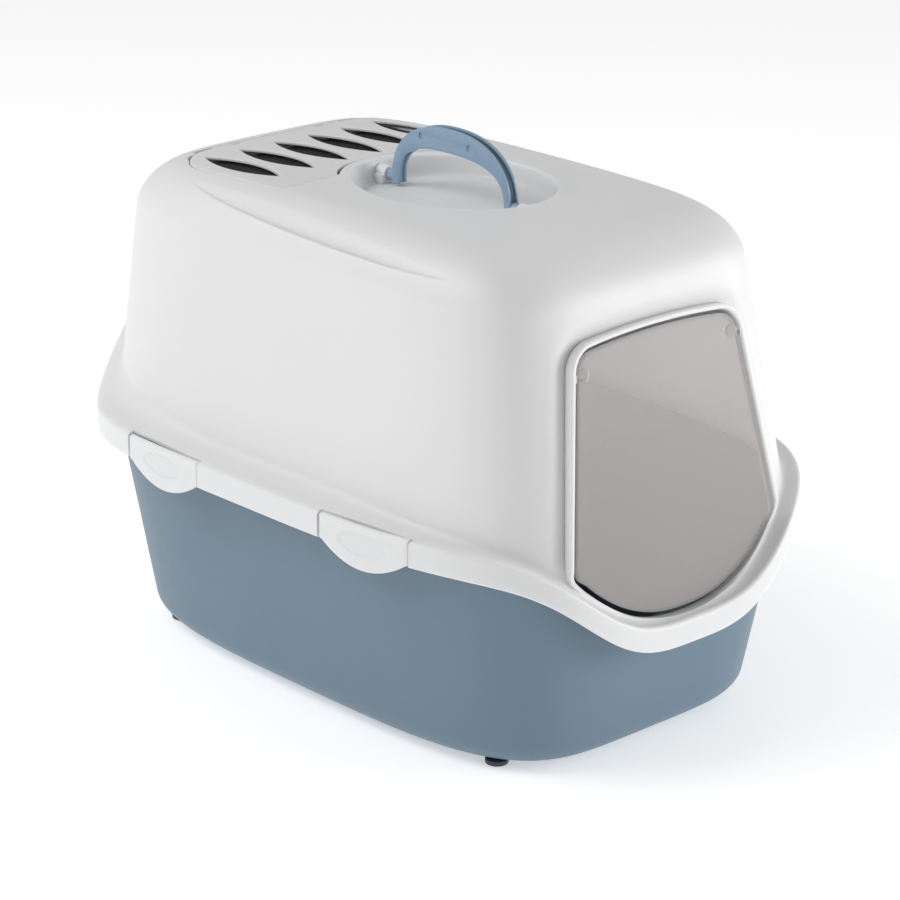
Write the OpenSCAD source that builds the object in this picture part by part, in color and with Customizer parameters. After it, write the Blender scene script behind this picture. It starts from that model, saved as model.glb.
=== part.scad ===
// Cat litter box with a hood: a deep tray, a clipped-on hood with a swing flap,
// a folding carry handle in a roof dish and a hinged vent cover over a filter.
// Frame: origin under the middle of the tray at floor level, +Z up, door toward -Y.

/* [Overall] */
// Outer width across the hood's skirt
width = 400; // [380:5:440]
// Outer length, door end to back
length = 560; // [540:5:600]
// Height of the roof above the floor, handle folded
roof_height = 397; // [385:1:420]
// Wall thickness of the tray and hood mouldings
wall = 3; // [2.4:0.2:3.6]

/* [Tray] */
// Half width of the tray's floor outline
tray_half_w = 152.5; // [145:0.5:160]
// Half length of the tray's floor outline
tray_half_l = 242.5; // [235:0.5:250]
// Radius between the tray's floor and its walls
tray_corner = 18; // [10:1:25]
// Height of the rubber feet below the floor
foot_h = 4; // [3:0.5:6]
// Radius of a rubber foot
foot_r = 9; // [6:0.5:12]

/* [Skirt line] */
// Height of the skirt's lower edge along the sides
skirt_z = 172; // [160:1:185]
// Height of the skirt
skirt_h = 20.5; // [18:0.5:24]
// How far the skirt line drops under the door
front_dip = 77; // [60:1:78]
// How far the skirt line climbs at the back
rear_rise = 80; // [40:1:90]

/* [Door] */
// Half width of the door opening at its lower corners
door_half_w = 108.5; // [95:0.5:110]
// Half width of the door opening at the top
door_top_half_w = 83.5; // [74:0.5:86]
// Height of the door opening above its lower corners
door_h = 163; // [145:0.5:165]
// Gap between the flap and the opening
flap_gap = 2.2; // [1.5:0.1:3]
// Gap between the flap and the sill
sill_gap = 4; // [3.6:0.1:6]
// Thickness of the flap
flap_t = 2.6; // [2:0.1:3]

/* [Handle] */
// Half length of the handle's arch
handle_half_l = 67; // [60:1:68]
// Height of the arch above its pivot
handle_rise = 50; // [44:0.5:52]
// Width of the handle across its flanges
handle_w = 9.6; // [8:0.2:10]
// Width of the channel along the handle
channel_w = 5.8; // [3:0.2:6]
// Half width of the roof dish
dish_half_w = 71; // [68:1:74]
// Half length of the roof dish
dish_half_l = 87; // [86:0.5:90]
// Depth of the roof dish
dish_depth = 17; // [16:0.5:20]

/* [Vent] */
// Half width of the vent cover
vent_half_w = 113; // [108:1:114]
// Number of slots in the vent cover
slot_count = 6; // [4:1:6]
// Spacing of the slots
slot_pitch = 35.5; // [34:0.5:36]
// Width of a slot at its middle
slot_w = 25; // [18:1:27]

/* [Latches] */
// Half length of a latch
latch_half_l = 43.5; // [36:0.5:46]
// How far a latch's lip hangs below the skirt
latch_drop = 14.5; // [6:0.5:16]

/* [Hidden] */
$fn = 48;

// colours
tray_blue = [0.47, 0.55, 0.62];
hood_white = [0.93, 0.93, 0.93];
handle_blue = [0.56, 0.65, 0.76];
smoke = [0.62, 0.60, 0.60, 0.6];
rubber_navy = [0.13, 0.16, 0.24];
charcoal = [0.08, 0.08, 0.07];
pin_grey = [0.7, 0.7, 0.72];

// points round a quarter of an outline
quarter = 18;
crown = 0.00009;           // roof fall per square of distance from the middle
edge_r = 38;               // large radius along the roof's edges
body_z = 190;              // heights between which the hood's sides taper
body_a = [173, 142];       // half widths of the hood at those heights
body_b = [259, 230];       // half lengths of the hood
body_y = [4, 15];          // middle of the hood's outline
body_e = [[5.2, 4.3], [6, 6]];
rim_inset = 9;             // tray rim back from the skirt's outer face
rim_gap = 1.8;             // tray rim below the underside of the flange
flange_z = skirt_z + skirt_h;
cove_h = 12;               // rise of the flange's sloping top up to the hood's side

// ---- outlines ----

function signed_pow(v, e) = sign(v) * pow(abs(v), e);
function mix(p, q, k) = p * (1 - k) + q * k;
function clamp01(v) = max(0, min(1, v));
function ease(v) = let(k = clamp01(v)) k * k * (3 - 2 * k);
// angles crowded toward the axes, where a squared oval turns slowly
function crowd(s) = let(p = pow(s, 2.2), q = pow(1 - s, 2.2)) 90 * p / (p + q);
angles = [for (q = [0:3], i = [0:quarter - 1]) 90 * q + crowd(i / quarter)];

// squared oval: one point at angle t
function oval_pt(a, b, e, yc, t) =
    [a * signed_pow(cos(t), 2 / e[0]), yc + b * signed_pow(sin(t), 2 / e[1])];
function skirt_pt(inset, t) =
    oval_pt(width / 2 - inset, length / 2 - inset, sin(t) < 0 ? [3.7, 3.2] : [2.5, 5.8], 0, t);
// the skirt line dips under the door and climbs at the back
function wave(p) =
    rear_rise * exp(-pow(abs(p[0]) / 136, 4)) * ease((p[1] - 60) / 100)
    - front_dip * exp(-pow(abs(p[0]) / 121, 3.3)) * ease((-p[1] - 60) / 100);
function skirt_ring(inset, z) =
    [for (t = angles) let(p = skirt_pt(inset, t)) [p[0], p[1], z + wave(p)]];

// ---- tray and hood wall surfaces ----

function tray_pt(z, inset, t) =
    let(k = (z - foot_h) / (skirt_z - foot_h), c = clamp01(k))
    oval_pt(mix(tray_half_w, 177.5, k) - inset, mix(tray_half_l, 261.5, k) - inset,
        [mix(4.7, 4.6, c), mix(3.45, sin(t) < 0 ? 5 : 4.5, c)], 4 * (1 - k), t);
function hood_pt(z, inset, t) =
    let(k = (z - body_z) / (roof_height - body_z), c = clamp01(k))
    oval_pt(mix(body_a[0], body_a[1], k) - inset, mix(body_b[0], body_b[1], k) - inset,
        mix(body_e[0], body_e[1], c), mix(body_y[0], body_y[1], k), t);
// a wall point whose own height follows the skirt line, found in two steps
function tray_edge(z, inset, t) =
    let(z1 = z + wave(tray_pt(z, inset, t)), p = tray_pt(z1, inset, t)) [p[0], p[1], z + wave(p)];
function hood_edge(z, inset, t) =
    let(z1 = z + wave(hood_pt(z, 0, t)), p = hood_pt(z1, inset, t)) [p[0], p[1], z + wave(p)];
function fall(p) = crown * (p[0] * p[0] + p[1] * p[1]);
function lowered(p, z) = [p[0], p[1], z - fall(p)];
// roof edge: inset and height along a quarter round of radius r
function edge_ring(r, inset, top, phi) =
    let(z = top - r + r * sin(phi))
    [for (t = angles) lowered(hood_pt(z + inset, inset + r * (1 - cos(phi)), t), z)];
function shrink_ring(r, k, top) =
    let(yc = body_y[1])
    [for (t = angles) let(p = hood_pt(roof_height, r, t)) lowered([p[0] * k, yc + (p[1] - yc) * k], top)];

// closed skin through a list of rings, with a point at each end
module skin(rings, first, last) {
    n = len(rings[0]);
    m = len(rings);
    points = concat([for (r = rings) each r], [first, last]);
    sides = [for (j = [0:m - 2], i = [0:n - 1])
        let(a = j * n + i, b = j * n + (i + 1) % n) each [[a, a + n, b + n], [a, b + n, b]]];
    caps = [for (i = [0:n - 1])
        each [[m * n, i, (i + 1) % n], [m * n + 1, (m - 1) * n + (i + 1) % n, (m - 1) * n + i]]];
    polyhedron(points, concat(sides, caps), convexity = 10);
}

// ---- rounded polygons ----

function unit(v) = v / norm(v);
function corner_arc(a, b, c, r, n) =
    let(u = unit(a - b), v = unit(c - b), half = acos(u * v) / 2,
        m = b + unit(u + v) * r / sin(half),
        s = b + u * r / tan(half) - m, e = b + v * r / tan(half) - m,
        a0 = atan2(s[1], s[0]), turn = (atan2(e[1], e[0]) - a0 + 540) % 360 - 180)
    [for (i = [0:n]) m + r * [cos(a0 + turn * i / n), sin(a0 + turn * i / n)]];
// p is a list of [x, y, corner radius]
function rounded(p, n = 6) =
    [for (i = [0:len(p) - 1])
        let(k = len(p), a = p[(i + k - 1) % k], b = p[i], c = p[(i + 1) % k])
        each b[2] == 0 ? [[b[0], b[1]]]
            : corner_arc([a[0], a[1]], [b[0], b[1]], [c[0], c[1]], b[2], n)];
function lens(half_l, half_w, n = 12) =
    let(r = (half_l * half_l + half_w * half_w) / (2 * half_w), a = asin(half_l / r))
    concat([for (i = [-n:n - 1]) [r * cos(a * i / n) - r + half_w, r * sin(a * i / n)]],
        [for (i = [-n:n - 1]) [-r * cos(a * i / n) + r - half_w, -r * sin(a * i / n)]]);

// ---- tray ----

module base_tray() {
    z0 = foot_h;
    rim = flange_z - wall - rim_gap;
    bends = [0, 30, 60, 90];
    function low_ring(r, inset, floor_z) =
        [for (phi = bends) [for (t = angles)
            let(z = floor_z + r * (1 - cos(phi)), p = tray_pt(z, inset + r * (1 - sin(phi)), t))
            [p[0], p[1], z]]];
    function wall_ring(v, z, inset) =
        [for (t = angles)
            let(top = tray_edge(rim - 2.6, inset, t), zz = mix(z, top[2], v), p = tray_pt(zz, inset, t))
            [p[0], p[1], zz]];
    color(tray_blue) skin(concat(
        low_ring(tray_corner, 0, z0),
        [for (v = [0.34, 0.67, 1]) wall_ring(v, z0 + tray_corner, 0)],
        [skirt_ring(rim_inset, rim - 2.6), skirt_ring(rim_inset, rim)],
        [[for (t = angles) let(p = tray_edge(rim - 2.6, wall, t)) [p[0], p[1], rim + wave(p)]]],
        [for (v = [0.67, 0.34]) wall_ring(v, z0 + tray_corner, wall)],
        [for (r = [3:-1:0]) low_ring(tray_corner - wall, wall, z0 + wall)[r]]),
        [0, 4, z0], [0, 4, z0 + wall]);
}

module foot(x, y) {
    color(rubber_navy) translate([x, y, 0]) rotate_extrude()
        polygon(concat([[0, 0]], [for (a = [-90:15:0]) [foot_r - 1.5 + 1.5 * cos(a), 1.5 + 1.5 * sin(a)]],
            [[foot_r, foot_h], [0, foot_h]]));
}

// ---- door frame: local x across, y inward, z up along the sloping front ----

door_tilt = 9.65;
door_y = -256.6;
door_z = 165.7;
door_sag = 51;             // drop of the sill at its middle
door_bow = 5;              // rise of the top edge at its middle
lip_w = 4.5;
lip_out = 3.6;
// hinge line of the flap in the door frame
flap_y = -1.6;             // outer face of the flap
flap_axis_z = 146;
flap_axis_y = flap_y + flap_t / 2;
flap_pin_r = 2;
boss_x = door_top_half_w - 5.5;
socket_x = door_top_half_w + 4.6;

module in_door() {
    translate([0, door_y, door_z]) rotate([-door_tilt, 0, 0]) children();
}
// opening outline, moved inward by gap at the sides, by sill along the sill
// and a little more at the top, where the flap turns; slope lowers both sides of the sill
function door_outline(gap, sill, slope = 0) =
    let(hw = door_half_w - gap, tw = door_top_half_w - gap, n = 10, top = door_h - gap - 0.27 * max(0, gap))
    rounded(concat(
        [[-hw, 0, 12]],
        [for (i = [1 - n:n - 1]) let(u = 0.94 * i / n)
            [hw * u, sill - slope * ease((abs(u) - 0.3) / 0.35) - door_sag * (1 - pow(abs(u), 2.35)), 0]],
        [[hw, 0, 12], [tw, top, 20]],
        [for (i = [2:-1:-2]) [tw * i / 3, top + door_bow * (1 - pow(i / 3, 2)), 0]],
        [[-tw, top, 20]]));
module door_prism(y1, y2, gap, sill) {
    translate([0, y2, 0]) rotate([90, 0, 0]) linear_extrude(y2 - y1) polygon(door_outline(gap, sill));
}
// both sides of the sill slope down and outward from just in front of the flap
module sill_slope() {
    start = flap_y - 0.8;
    reach = 6;
    skin([for (d = [0, reach]) [for (p = door_outline(0, 0, d)) [p[0], start - d, p[1]]]],
        [0, start, door_h / 2], [0, start - reach, door_h / 2]);
}

// round boss on the flap's face and the pin that grows out of it
module flap_pivot(side) {
    translate([side * boss_x, flap_axis_y, flap_axis_z]) {
        rotate([90, 0, 0]) cylinder(r = 5, h = flap_t + 2.4, center = true);
        rotate([0, side * 90, 0]) cylinder(r = flap_pin_r, h = socket_x - boss_x + 1.6);
    }
}
module door_flap() {
    color(smoke) in_door() {
        door_prism(flap_y, flap_y + flap_t, flap_gap, sill_gap);
        difference() {
            door_prism(flap_y - 0.6, flap_y + flap_t + 0.6, flap_gap, sill_gap);
            door_prism(flap_y - 3, flap_y + flap_t + 3, flap_gap + 2.6, sill_gap + 2.6);
        }
        for (side = [-1, 1]) flap_pivot(side);
    }
}
module socket_block(side) {
    translate([side * socket_x - 1.8, flap_axis_y - 2.6, flap_axis_z - 4]) cube([3.6, 7, 8]);
}
module flap_socket(side) {
    color(hood_white) in_door() difference() {
        socket_block(side);
        translate([side * socket_x, flap_axis_y, flap_axis_z]) rotate([0, 90, 0])
            cylinder(r = flap_pin_r + 0.08, h = 6, center = true);
    }
}

// ---- roof dish and handle ----

dish_y = -12;
pivot_z = roof_height - 9.5;
bearing_y = 75;            // inner face of a handle bearing, from the dish's middle
bearing_w = 17;
handle_pin_r = 3;
leg_end = 5;               // the legs' square ends below the pivot

// dish hollow: superellipse rings shrinking to the floor
function dish_ring(inset, z) =
    [for (a = [0:7.5:352.5]) [(dish_half_w - inset) * cos(a), dish_y + (dish_half_l - inset) * sin(a), z]];
module dish_hollow(grow, depth) {
    floor_z = roof_height - depth;
    r = 7;
    skin(concat(
        [for (phi = [0, 45, 90]) dish_ring(1.5 + r * (1 - sin(phi)) - grow, floor_z + r * (1 - cos(phi)))],
        [dish_ring(-0.3 - grow, roof_height - 3), dish_ring(-1.5 - grow, roof_height - 1),
            dish_ring(-4 - grow, roof_height + 1), dish_ring(-4 - grow, roof_height + 12)]),
        [0, dish_y, floor_z], [0, dish_y, roof_height + 12]);
}
module bearing_block(side, play) {
    translate([0, dish_y + side * (bearing_y + 6), 0]) {
        translate([-bearing_w / 2 - play, -6 - play, roof_height - dish_depth])
            cube([bearing_w + 2 * play, 12 + 2 * play, dish_depth - 9.5]);
        translate([0, 0, pivot_z]) rotate([90, 0, 0])
            cylinder(r = 6 + play, h = 12 + 2 * play, center = true);
    }
}
module handle_bearing(side) {
    color(hood_white) difference() {
        bearing_block(side, 0);
        translate([0, dish_y + side * (bearing_y + 4), pivot_z]) rotate([90, 0, 0])
            cylinder(r = handle_pin_r + 0.08, h = 10, center = true);
    }
}

function arch(a, h, e, n = 24) =
    [for (i = [0:n]) [a * signed_pow(cos(180 * i / n), 2 / e), h * signed_pow(sin(180 * i / n), 2 / e)]];
module arch_shape(a, h, e) {
    polygon(arch(a, h, e));
}
// an upright plate of the given thickness, centred on x = 0, from a shape in the y-z plane
module upright(t) {
    rotate([90, 0, 90]) linear_extrude(t, center = true) children();
}
// the outline of the arch with its legs carried down past the pivot
module arch_with_legs(a, h, e) {
    arch_shape(a, h, e);
    translate([-a, -leg_end]) square([2 * a, leg_end + 0.1]);
}
module handle_bow() {
    grip_h = handle_rise - 19;
    difference() {
        upright(handle_w) difference() {
            arch_with_legs(handle_half_l, handle_rise, 2.3);
            arch_with_legs(handle_half_l - 6.5, grip_h, 2.7);
        }
        // channel along the outer edge, and along the inner edge of the legs
        upright(channel_w) difference() {
            translate([-100, 0]) square([200, 80]);
            arch_shape(handle_half_l - 3, handle_rise - 3.4, 2.3);
        }
        upright(channel_w) intersection() {
            translate([-100, 0]) square([200, grip_h - 5]);
            difference() {
                arch_shape(handle_half_l - 4.6, grip_h + 5, 2.5);
                square([2 * handle_half_l - 34, 80], center = true);
            }
        }
        // round dimples at the ends of the grip
        for (s = [-1, 1], y = [-27.3, 27.3]) translate([s * handle_w / 2, y - s * 5.5, handle_rise - 11])
            rotate([0, 90, 0]) cylinder(r = 2.8, h = 2, center = true);
    }
}
module carry_handle() {
    color(handle_blue) translate([0, dish_y, pivot_z]) {
        handle_bow();
        for (side = [-1, 1]) translate([0, side * (handle_half_l + 2.8), 0]) rotate([90, 0, 0]) {
            cylinder(r = handle_w / 2, h = 8, center = true);
            translate([0, 0, -side * 7]) cylinder(r = handle_pin_r, h = 7.6, center = true);
        }
    }
}

// ---- vent cover, its hinge, the filter and its basket ----

vent_front = 63;
vent_rear = 203;
vent_t = 3;
hinge_r = 3.1;
hinge_half_l = 66;
vent_pin_r = 1.5;
knuckle_x = 44;
knuckle_w = 8;
vent_front_r = 12;         // corner radii of the cover
vent_rear_r = 44;
notch_r = 72.5;            // arc of the cover's front edge round the dish
notch_y = 14.5;            // middle of that arc
notch_half_w = 54;         // half its chord
slot_y = 138.5;            // middle of the slots
slot_half_l = 47.5;
vent_tilt = 1.37;
ledge_drop = 7.5;          // depth of the ledge that carries the filter basket

// how far a roof point lies in from the hood's outline, by halving the interval
function roof_inset(x, y, lo = 0, hi = 90, n = 16) =
    n == 0 ? (lo + hi) / 2
    : let(i = (lo + hi) / 2,
        e = body_e[1],
        s = pow(abs(x) / (body_a[1] - i), e[0]) + pow(abs(y - body_y[1]) / (body_b[1] - i), e[1]))
    s > 1 ? roof_inset(x, y, lo, i, n - 1) : roof_inset(x, y, i, hi, n - 1);
function roof_z(x, y) =
    let(i = min(edge_r, roof_inset(x, y)), c = 1 - i / edge_r)
    roof_height - edge_r + edge_r * sqrt(1 - c * c) - crown * (x * x + y * y);
hinge_z = roof_z(0, vent_rear) - hinge_r;

// slab of roof between two depths under the cover's area
module roof_slab(low, high) {
    half = [45, 78, 96, 106, 113, 120];
    xs = concat([for (i = [5:-1:0]) -half[i]], [0], half);
    ys = [50, 100, 150, 178, 192, 203, 216];
    nx = len(xs) - 1;
    ny = len(ys) - 1;
    function pt(i, j, d) = [xs[i], ys[j], roof_z(xs[i], ys[j]) + d];
    row = nx + 1;
    count = row * (ny + 1);
    points = [for (d = [low, high], j = [0:ny], i = [0:nx]) pt(i, j, d)];
    border = concat([for (i = [0:nx - 1]) i], [for (j = [0:ny - 1]) j * row + nx],
        [for (i = [nx:-1:1]) ny * row + i], [for (j = [ny:-1:1]) j * row]);
    polyhedron(points, concat(
        [for (j = [0:ny - 1], i = [0:nx - 1])
            let(a = j * row + i) each [[a, a + 1, a + row + 1], [a, a + row + 1, a + row]]],
        [for (j = [0:ny - 1], i = [0:nx - 1])
            let(a = count + j * row + i) each [[a, a + row + 1, a + 1], [a, a + row, a + row + 1]]],
        [for (k = [0:len(border) - 1])
            let(a = border[k], b = border[(k + 1) % len(border)])
            each [[a, a + count, b + count], [a, b + count, b]]]), convexity = 6);
}
module vent_shape() {
    w = vent_half_w;
    a = asin(notch_half_w / notch_r);
    polygon(rounded(concat(
        [[w, vent_front, vent_front_r], [w, vent_rear, vent_rear_r]],
        [[-w, vent_rear, vent_rear_r], [-w, vent_front, vent_front_r]],
        [for (i = [-6:6]) [notch_r * sin(a * i / 6), notch_y + notch_r * cos(a * i / 6), 0]]), 8));
}
module vent_slots() {
    for (i = [0:slot_count - 1])
        translate([slot_pitch * (i - (slot_count - 1) / 2), slot_y]) polygon(lens(slot_half_l, slot_w / 2));
}
// crescent finger gaps along the front arc, one each side of its middle
module finger_gaps() {
    spread = 20;
    for (middle = [-31, 31]) translate([0, notch_y]) polygon(concat(
        [for (u = [-1:0.25:1]) arc_pt(notch_r + 2.4 * (1 - u * u), middle + spread * u)],
        [for (u = [1:-0.5:-1]) arc_pt(notch_r - 3, middle + spread * u)]));
}
function arc_pt(r, a) = [r * sin(a), r * cos(a)];
module in_vent() {
    translate([0, vent_rear, hinge_z]) rotate([-vent_tilt, 0, 0]) children();
}
module across(x, r, l) {
    translate([x, 0, 0]) rotate([0, 90, 0]) cylinder(r = r, h = l, center = true);
}
module vent_cover() {
    color(hood_white) difference() {
        union() {
            intersection() {
                roof_slab(-vent_t, 0);
                translate([0, 0, roof_height - 30]) linear_extrude(60) difference() {
                    vent_shape();
                    vent_slots();
                    finger_gaps();
                }
            }
            translate([0, vent_rear, hinge_z]) across(0, hinge_r, 2 * hinge_half_l);
        }
        translate([0, vent_rear, hinge_z]) {
            across(0, vent_pin_r + 0.07, 200);
            for (s = [-1, 1]) translate([s * knuckle_x - knuckle_w / 2 - 0.4, -3.7, -10])
                cube([knuckle_w + 0.8, 12, 20]);
        }
    }
}
module vent_hinge_pin() {
    color(pin_grey) translate([0, vent_rear, hinge_z]) across(0, vent_pin_r, 2 * hinge_half_l - 4);
}

basket_half_w = 101.8;
basket_front = -111.3;     // from the hinge line
module tile(x1, x2, y1, y2, z1, z2) {
    translate([x1, y1, z1]) cube([x2 - x1, y2 - y1, z2 - z1]);
}
module pan(half_w, y1, y2, r, z1, z2) {
    translate([0, 0, z1]) linear_extrude(z2 - z1)
        polygon(rounded([[half_w, y1, r], [half_w, y2, r], [-half_w, y2, r], [-half_w, y1, r]]));
}
module filter_basket() {
    color([0.78, 0.78, 0.82]) in_vent() difference() {
        union() {
            pan(basket_half_w, basket_front, -6, 9.8, -13, -2.3);
            pan(105, basket_front - 3.2, -22, 13, -3.9, -2.3);
            tile(-64, 64, -24, 3.2, -7, -3.7);
            for (s = [-1, 1]) {
                across(s * knuckle_x, 3, knuckle_w);
                tile(s * knuckle_x - knuckle_w / 2, s * knuckle_x + knuckle_w / 2, -2.2, 2.2, -4.5, 0);
            }
        }
        // pocket for the filter, then the room behind it down to the deck
        pan(basket_half_w - 1.8, basket_front + 1.8, -24, 8, -11.2, 5);
        for (s = [-1, 1]) tile(s > 0 ? 66 : -98, s > 0 ? 98 : -66, -40, -10, -11.2, 5);
        tile(-66.1, 66.1, -24.1, -3.8, -3.7, 5);
        // air openings through the floor
        for (i = [-2:2], j = [0:2]) tile(i * 38 - 15, i * 38 + 15, -105 + j * 25, -87 + j * 25, -20, 0);
        across(0, vent_pin_r, 200);
    }
}
module charcoal_filter() {
    color(charcoal) in_vent() translate([0, 0, -11.2]) linear_extrude(9.6)
        polygon(rounded([[98.5, -108.5, 6], [98.5, -24.6, 6], [-98.5, -24.6, 6], [-98.5, -108.5, 6]], 4));
}

// ---- latches: each hangs from an axle along the skirt's top edge ----

latch_front_y = -123.5;
latch_rear_y = 108.5;
axle_r = 1.5;
barrel_r = 3;
latch_bottom = skirt_z - latch_drop;
// depth of the skirt's outline at y, measured from the centre plane
function skirt_x(y, inset = 0) =
    let(f = y < 0, e = f ? [3.7, 3.2] : [2.5, 5.8])
    (width / 2 - inset) * pow(1 - pow(abs(y) / (length / 2 - inset), e[1]), 1 / e[0]);
function latch_turn(y) = atan2(skirt_x(y - latch_half_l) - skirt_x(y + latch_half_l), 2 * latch_half_l);
function latch_reach(y) = (skirt_x(y - latch_half_l) + skirt_x(y + latch_half_l)) / 2;
axle_z = flange_z - barrel_r - 0.2;

// right-hand latch frame: x outward from the axle, y along it
module at_latch(side, y) {
    mirror([side < 0 ? 1 : 0, 0, 0]) translate([latch_reach(y) - barrel_r - 0.2, y, axle_z])
        rotate([0, 0, latch_turn(y)]) children();
}
// strip of the skirt's outline between two insets, as a prism in the part's frame
module skirt_strip(y, in1, in2, z1, z2) {
    span = latch_half_l + 12;
    n = 12;
    ys = [for (i = [0:n]) y - span + 2 * span * i / n];
    translate([0, 0, z1]) linear_extrude(z2 - z1) polygon(concat(
        [for (v = ys) [skirt_x(v) - in1, v]],
        [for (i = [n:-1:0]) [skirt_x(ys[i]) - in2, ys[i]]]));
}
// lower edge: a shallow arc hanging below the skirt between two short level ends
module latch_face(half) {
    n = 10;
    lip = half - 1.5;
    polygon(concat([[-half, 0.2], [-half, skirt_z - axle_z]],
        [for (i = [-n:n]) [lip * i / n, skirt_z - axle_z - latch_drop * (1 - pow(i / n, 2))]],
        [[half, skirt_z - axle_z], [half, 0.2]]));
}
module latch(side, y) {
    color(hood_white) mirror([side < 0 ? 1 : 0, 0, 0]) difference() {
        union() {
            intersection() {
                skirt_strip(y, 0, 2.8, latch_bottom - 1, flange_z - 0.2);
                at_latch(1, y) rotate([90, 0, 90]) linear_extrude(30, center = true)
                    union() {
                        latch_face(latch_half_l);
                        translate([-latch_half_l, 0]) square([2 * latch_half_l, barrel_r]);
                    }
            }
            intersection() {
                skirt_strip(y, 2, rim_inset - 0.4, skirt_z + 7, skirt_z + 10.5);
                at_latch(1, y) cube([60, 2 * latch_half_l - 30, 60], center = true);
            }
            at_latch(1, y) rotate([90, 0, 0]) cylinder(r = barrel_r, h = 2 * latch_half_l, center = true);
        }
        at_latch(1, y) rotate([90, 0, 0]) cylinder(r = axle_r + 0.06, h = 3 * latch_half_l, center = true);
        // oval thumb dimple
        translate([skirt_x(y) - 0.8, y, skirt_z + 6]) rotate([90, 0, 90 + latch_turn(y)])
            linear_extrude(9) polygon([for (i = [0:35]) [24 * cos(10 * i), 9 * sin(10 * i)]]);
    }
}
module latch_axle(side, y) {
    color(pin_grey) at_latch(side, y) rotate([90, 0, 0])
        cylinder(r = axle_r, h = 2 * latch_half_l + 10, center = true);
}
// room in the hood's skirt for a latch
module latch_notch(y) {
    at_latch(1, y) translate([-barrel_r - 0.5, -latch_half_l - 0.6, -60])
        cube([30, 2 * latch_half_l + 3.2, 80]);
}
// lugs inside the skirt that hold the ends of an axle
module latch_lugs(y) {
    intersection() {
        skirt_strip(y, 0.4, rim_inset - 1.2, axle_z - 4, flange_z - 1);
        at_latch(1, y) for (s = [-1, 1])
            translate([-20, s * (latch_half_l + 3.6) - 3, -10]) cube([40, 6, 20]);
    }
}

// ---- hood ----

module hood_skin() {
    spread = [0.12, 0.3, 0.5, 0.75, 1];
    function side_ring(v, inset, base, top) =
        [for (t = angles)
            let(e = hood_edge(base, inset, t), z = mix(e[2], top, v), p = hood_pt(z + inset, inset, t))
            [p[0], p[1], z - v * fall(p)]];
    // ring on the sloping top of the flange, a share k of the way from the skirt to the hood's side
    function cove_ring(k, rise) =
        [for (t = angles)
            let(s = skirt_pt(3.5, t), e = hood_edge(flange_z + cove_h, 0, t), p = [mix(s[0], e[0], k), mix(s[1], e[1], k)])
            [p[0], p[1], flange_z + rise + wave(p)]];
    inner_top = roof_height - edge_r;
    skin(concat(
        // inside, from the middle of the roof down to the skirt
        [for (k = [0.35, 0.7]) shrink_ring(edge_r, k, roof_height - wall)],
        [for (phi = [90, 65, 40, 18]) edge_ring(edge_r - wall, wall, roof_height - wall, phi)],
        [for (i = [4:-2:0]) side_ring(spread[i], wall, flange_z + 4, inner_top)],
        [[for (t = angles) hood_edge(flange_z - wall, wall, t)]],
        [skirt_ring(14, flange_z - wall), skirt_ring(wall, flange_z - wall), skirt_ring(wall, skirt_z)],
        // outside, from the skirt up
        [skirt_ring(0, skirt_z), skirt_ring(0, flange_z - 3.5), skirt_ring(1, flange_z - 1),
            skirt_ring(3.5, flange_z)],
        [cove_ring(0.4, 1), cove_ring(0.8, 4.2), [for (t = angles) hood_edge(flange_z + cove_h, 0, t)]],
        [for (i = [0:4]) side_ring(spread[i], 0, flange_z + 4, inner_top)],
        [for (phi = [15, 30, 45, 60, 75, 90]) edge_ring(edge_r, 0, roof_height, phi)],
        [for (k = [0.7, 0.35]) shrink_ring(edge_r, k, roof_height)]),
        lowered([0, body_y[1]], roof_height - wall), lowered([0, body_y[1]], roof_height));
}
// long shallow scoop along each roof shoulder
module shoulder_scoop(side) {
    mirror([side < 0 ? 1 : 0, 0, 0]) translate([131, 0, 383]) rotate([0, 42, 0])
        hull() {
            linear_extrude(1) polygon(lens(150, 5.5));
            translate([0, 0, 9]) linear_extrude(1) polygon(lens(155, 9));
        }
}
module hood_shell() {
    color(hood_white) difference() {
        union() {
            hood_skin();
            // door rim
            in_door() door_prism(-lip_out, 3.4, -lip_w, -0.4);
            // dish bowl
            intersection() {
                dish_hollow(wall, dish_depth + wall);
                translate([-100, -150, 0]) cube([200, 300, roof_height - 2]);
            }
            // ledge under the vent cover
            intersection() {
                roof_slab(-ledge_drop - 3, -1);
                linear_extrude(500) offset(r = 4) vent_shape();
            }
            for (side = [0, 1], y = [latch_front_y, latch_rear_y]) mirror([side, 0, 0]) latch_lugs(y);
        }
        in_door() {
            door_prism(-20, 20, 0, 0);
            sill_slope();
        }
        dish_hollow(0, dish_depth);
        for (side = [-1, 1]) {
            bearing_block(side, 0.1);
            shoulder_scoop(side);
            in_door() {
                socket_block(side);
                translate([side * (socket_x - 2.7), flap_axis_y, flap_axis_z]) rotate([0, 90, 0])
                    cylinder(r = flap_pin_r + 0.4, h = 2.2, center = true);
            }
        }
        // recess and hole under the vent cover
        intersection() {
            roof_slab(-ledge_drop, 20);
            linear_extrude(500) offset(r = 0.8) union() {
                vent_shape();
                translate([-86, vent_rear - 10]) square([172, 10 + hinge_r - 0.3]);
            }
        }
        hull() for (x = [-92, 92], y = [101.5, vent_rear - 15]) translate([x, y, roof_height - 40])
            cylinder(r = 10.2, h = 60);
        translate([-hinge_half_l - 0.8, 150, roof_height - 40])
            cube([2 * hinge_half_l + 1.6, vent_rear - 146.3, 60]);
        for (side = [0, 1], y = [latch_front_y, latch_rear_y]) mirror([side, 0, 0]) {
            latch_notch(y);
            hull() at_latch(1, y) rotate([90, 0, 0])
                cylinder(r = axle_r, h = 2 * latch_half_l + 10, center = true);
        }
    }
}

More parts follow.
